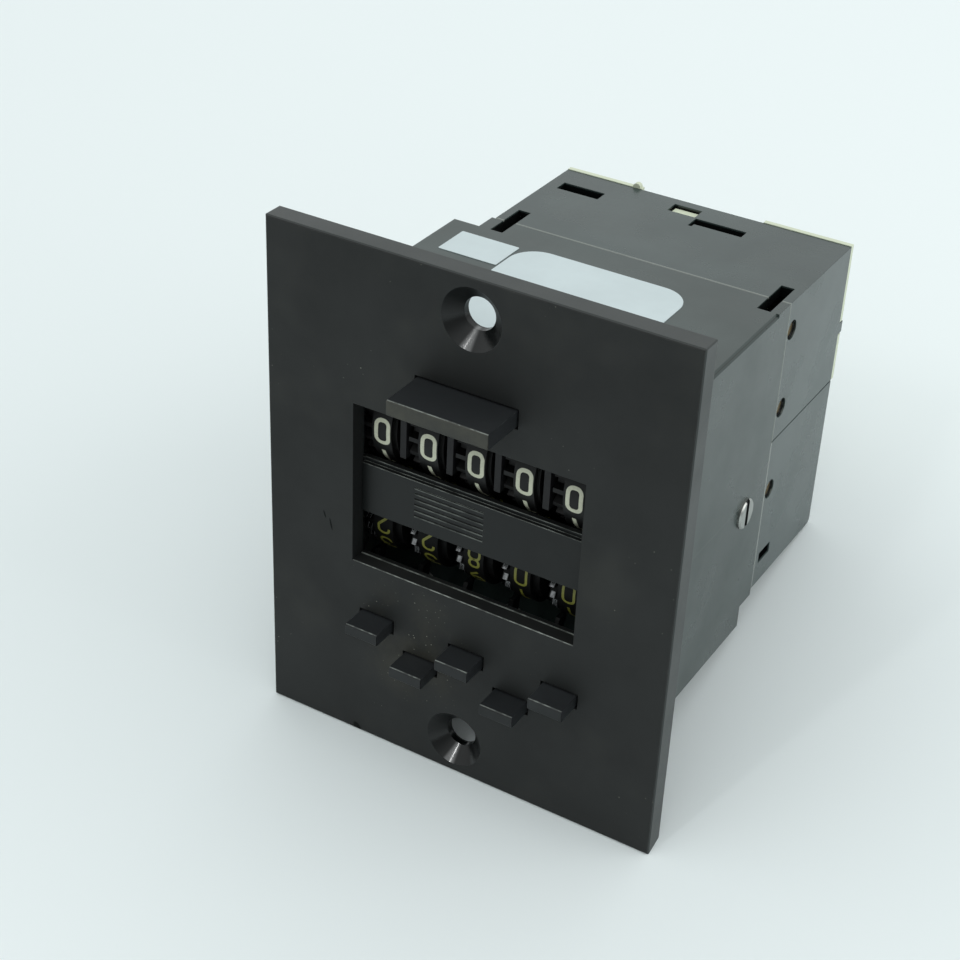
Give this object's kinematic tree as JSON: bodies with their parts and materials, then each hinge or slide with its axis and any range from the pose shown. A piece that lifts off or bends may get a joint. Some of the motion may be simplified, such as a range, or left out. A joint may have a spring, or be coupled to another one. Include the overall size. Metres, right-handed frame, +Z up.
{
  "type": "panel counter",
  "caption": "Electromechanical preset counter: flat front plate with a window onto count and preset wheels, a reset key, staggered preset keys and a stepped moulded body behind.",
  "frame": {"origin": "centre of the front plate's rear face, midway between its two screw holes", "axes": "+X to the right, +Y from the plate into the panel, +Z up, as seen from the front"},
  "size_m": [0.06, 0.0753, 0.075],
  "materials": {
    "plate": "matte black moulding",
    "mask": "satin dark grey moulding",
    "housing": "satin dark grey moulding",
    "key": "satin black moulding",
    "wheel": "matte black moulding",
    "board": "pale green laminate",
    "bobbin": "natural moulding",
    "steel": "bright plated steel",
    "brass": "turned brass",
    "copper": "enamelled copper wire",
    "digit_white": "white printed digits",
    "digit_yellow": "yellow printed digits",
    "sticker": "bare white paper"
  },
  "bodies": {
    "casing": {"front_plate": "plate", "wheel_mask": "mask", "front_housing": "housing", "rear_upper_shell": "housing", "rear_lower_shell": "housing", "terminal_board": "board", "terminal_tabs": "steel", "terminal_block": "board", "side_screw": "steel", "side_pins": "brass", "side_frame_left": "steel", "side_frame_right": "steel", "tie_rods": "steel", "wheel_comb": "mask", "key_guide": "housing", "count_shaft": "steel", "preset_shaft": "steel", "pinion_shaft": "steel", "bail_shaft": "steel", "trip_shaft": "steel", "armature_pin": "steel", "reset_springs": "steel", "coil_bobbin": "bobbin", "coil_winding": "copper", "magnet_yoke": "steel", "armature_spring": "steel", "contact_block": "board", "preset_spring_1": "steel", "preset_spring_2": "steel", "preset_spring_3": "steel", "preset_spring_4": "steel", "preset_spring_5": "steel"},
    "reset_key": {"reset_key": "key"},
    "reset_bail": {"reset_bail": "steel"},
    "armature": {"armature": "steel"},
    "trip_lever": {"trip_lever": "steel"},
    "count_wheel_1": {"count_wheel_1": "wheel"},
    "count_wheel_2": {"count_wheel_2": "wheel"},
    "count_wheel_3": {"count_wheel_3": "wheel"},
    "count_wheel_4": {"count_wheel_4": "wheel"},
    "count_wheel_5": {"count_wheel_5": "wheel"},
    "preset_wheel_1": {"preset_wheel_1": "wheel"},
    "preset_wheel_2": {"preset_wheel_2": "wheel"},
    "preset_wheel_3": {"preset_wheel_3": "wheel"},
    "preset_wheel_4": {"preset_wheel_4": "wheel"},
    "preset_wheel_5": {"preset_wheel_5": "wheel"},
    "preset_key_1": {"preset_key_1": "key"},
    "preset_key_2": {"preset_key_2": "key"},
    "preset_key_3": {"preset_key_3": "key"},
    "preset_key_4": {"preset_key_4": "key"},
    "preset_key_5": {"preset_key_5": "key"},
    "transfer_pinion_1": {"transfer_pinion_1": "brass"},
    "transfer_pinion_2": {"transfer_pinion_2": "brass"},
    "transfer_pinion_3": {"transfer_pinion_3": "brass"},
    "transfer_pinion_4": {"transfer_pinion_4": "brass"}
  },
  "joints": [
    {"name": "count_wheel_1_spin", "type": "hinge", "parent": "casing", "child": "count_wheel_1", "pos_m": [0, 0.0072, 0.0105], "axis": [1, 0, 0], "continuous": true},
    {"name": "count_wheel_2_spin", "type": "hinge", "parent": "casing", "child": "count_wheel_2", "pos_m": [0, 0.0072, 0.0105], "axis": [1, 0, 0], "continuous": true},
    {"name": "count_wheel_3_spin", "type": "hinge", "parent": "casing", "child": "count_wheel_3", "pos_m": [0, 0.0072, 0.0105], "axis": [1, 0, 0], "continuous": true},
    {"name": "count_wheel_4_spin", "type": "hinge", "parent": "casing", "child": "count_wheel_4", "pos_m": [0, 0.0072, 0.0105], "axis": [1, 0, 0], "continuous": true},
    {"name": "count_wheel_5_spin", "type": "hinge", "parent": "casing", "child": "count_wheel_5", "pos_m": [0, 0.0072, 0.0105], "axis": [1, 0, 0], "continuous": true},
    {"name": "preset_wheel_1_spin", "type": "hinge", "parent": "casing", "child": "preset_wheel_1", "pos_m": [0, 0.0072, -0.0046], "axis": [1, 0, 0], "continuous": true},
    {"name": "preset_wheel_2_spin", "type": "hinge", "parent": "casing", "child": "preset_wheel_2", "pos_m": [0, 0.0072, -0.0046], "axis": [1, 0, 0], "continuous": true},
    {"name": "preset_wheel_3_spin", "type": "hinge", "parent": "casing", "child": "preset_wheel_3", "pos_m": [0, 0.0072, -0.0046], "axis": [1, 0, 0], "continuous": true},
    {"name": "preset_wheel_4_spin", "type": "hinge", "parent": "casing", "child": "preset_wheel_4", "pos_m": [0, 0.0072, -0.0046], "axis": [1, 0, 0], "continuous": true},
    {"name": "preset_wheel_5_spin", "type": "hinge", "parent": "casing", "child": "preset_wheel_5", "pos_m": [0, 0.0072, -0.0046], "axis": [1, 0, 0], "continuous": true},
    {"name": "transfer_pinion_1_spin", "type": "hinge", "parent": "casing", "child": "transfer_pinion_1", "pos_m": [0, 0.01363, 0.00284], "axis": [1, 0, 0], "continuous": true},
    {"name": "transfer_pinion_2_spin", "type": "hinge", "parent": "casing", "child": "transfer_pinion_2", "pos_m": [0, 0.01363, 0.00284], "axis": [1, 0, 0], "continuous": true},
    {"name": "transfer_pinion_3_spin", "type": "hinge", "parent": "casing", "child": "transfer_pinion_3", "pos_m": [0, 0.01363, 0.00284], "axis": [1, 0, 0], "continuous": true},
    {"name": "transfer_pinion_4_spin", "type": "hinge", "parent": "casing", "child": "transfer_pinion_4", "pos_m": [0, 0.01363, 0.00284], "axis": [1, 0, 0], "continuous": true},
    {"name": "reset_press", "type": "slide", "parent": "casing", "child": "reset_key", "axis": [0, 1, 0], "range_m": [0, 0.0026], "stiffness_N_per_m": 300, "springref_m": -0.0015, "deforming": ["reset_springs"]},
    {"name": "reset_bail_turn", "type": "hinge", "parent": "casing", "child": "reset_bail", "pos_m": [0, 0.017, 0.0136], "axis": [-1, 0, 0], "range_deg": [0, 25]},
    {"name": "armature_pull", "type": "hinge", "parent": "casing", "child": "armature", "pos_m": [0, 0.0314, 0.0094], "axis": [1, 0, 0], "range_deg": [0, 6], "stiffness_Nm_per_rad": 0.05, "springref_deg": -8.59, "deforming": ["armature_spring"]},
    {"name": "trip_turn", "type": "hinge", "parent": "casing", "child": "trip_lever", "pos_m": [0, 0.0175, -0.009], "axis": [1, 0, 0], "range_deg": [0, 6]},
    {"name": "preset_key_1_press", "type": "slide", "parent": "casing", "child": "preset_key_1", "axis": [0, 1, 0], "range_m": [0, 0.0024], "stiffness_N_per_m": 200, "springref_m": -0.0015, "deforming": ["preset_spring_1"]},
    {"name": "preset_key_2_press", "type": "slide", "parent": "casing", "child": "preset_key_2", "axis": [0, 1, 0], "range_m": [0, 0.0024], "stiffness_N_per_m": 200, "springref_m": -0.0015, "deforming": ["preset_spring_2"]},
    {"name": "preset_key_3_press", "type": "slide", "parent": "casing", "child": "preset_key_3", "axis": [0, 1, 0], "range_m": [0, 0.0024], "stiffness_N_per_m": 200, "springref_m": -0.0015, "deforming": ["preset_spring_3"]},
    {"name": "preset_key_4_press", "type": "slide", "parent": "casing", "child": "preset_key_4", "axis": [0, 1, 0], "range_m": [0, 0.0024], "stiffness_N_per_m": 200, "springref_m": -0.0015, "deforming": ["preset_spring_4"]},
    {"name": "preset_key_5_press", "type": "slide", "parent": "casing", "child": "preset_key_5", "axis": [0, 1, 0], "range_m": [0, 0.0024], "stiffness_N_per_m": 200, "springref_m": -0.0015, "deforming": ["preset_spring_5"]}
  ],
  "couplings": [
    {"joint": "reset_bail_turn", "follows": "reset_press", "rad_per_m": 165}
  ]
}
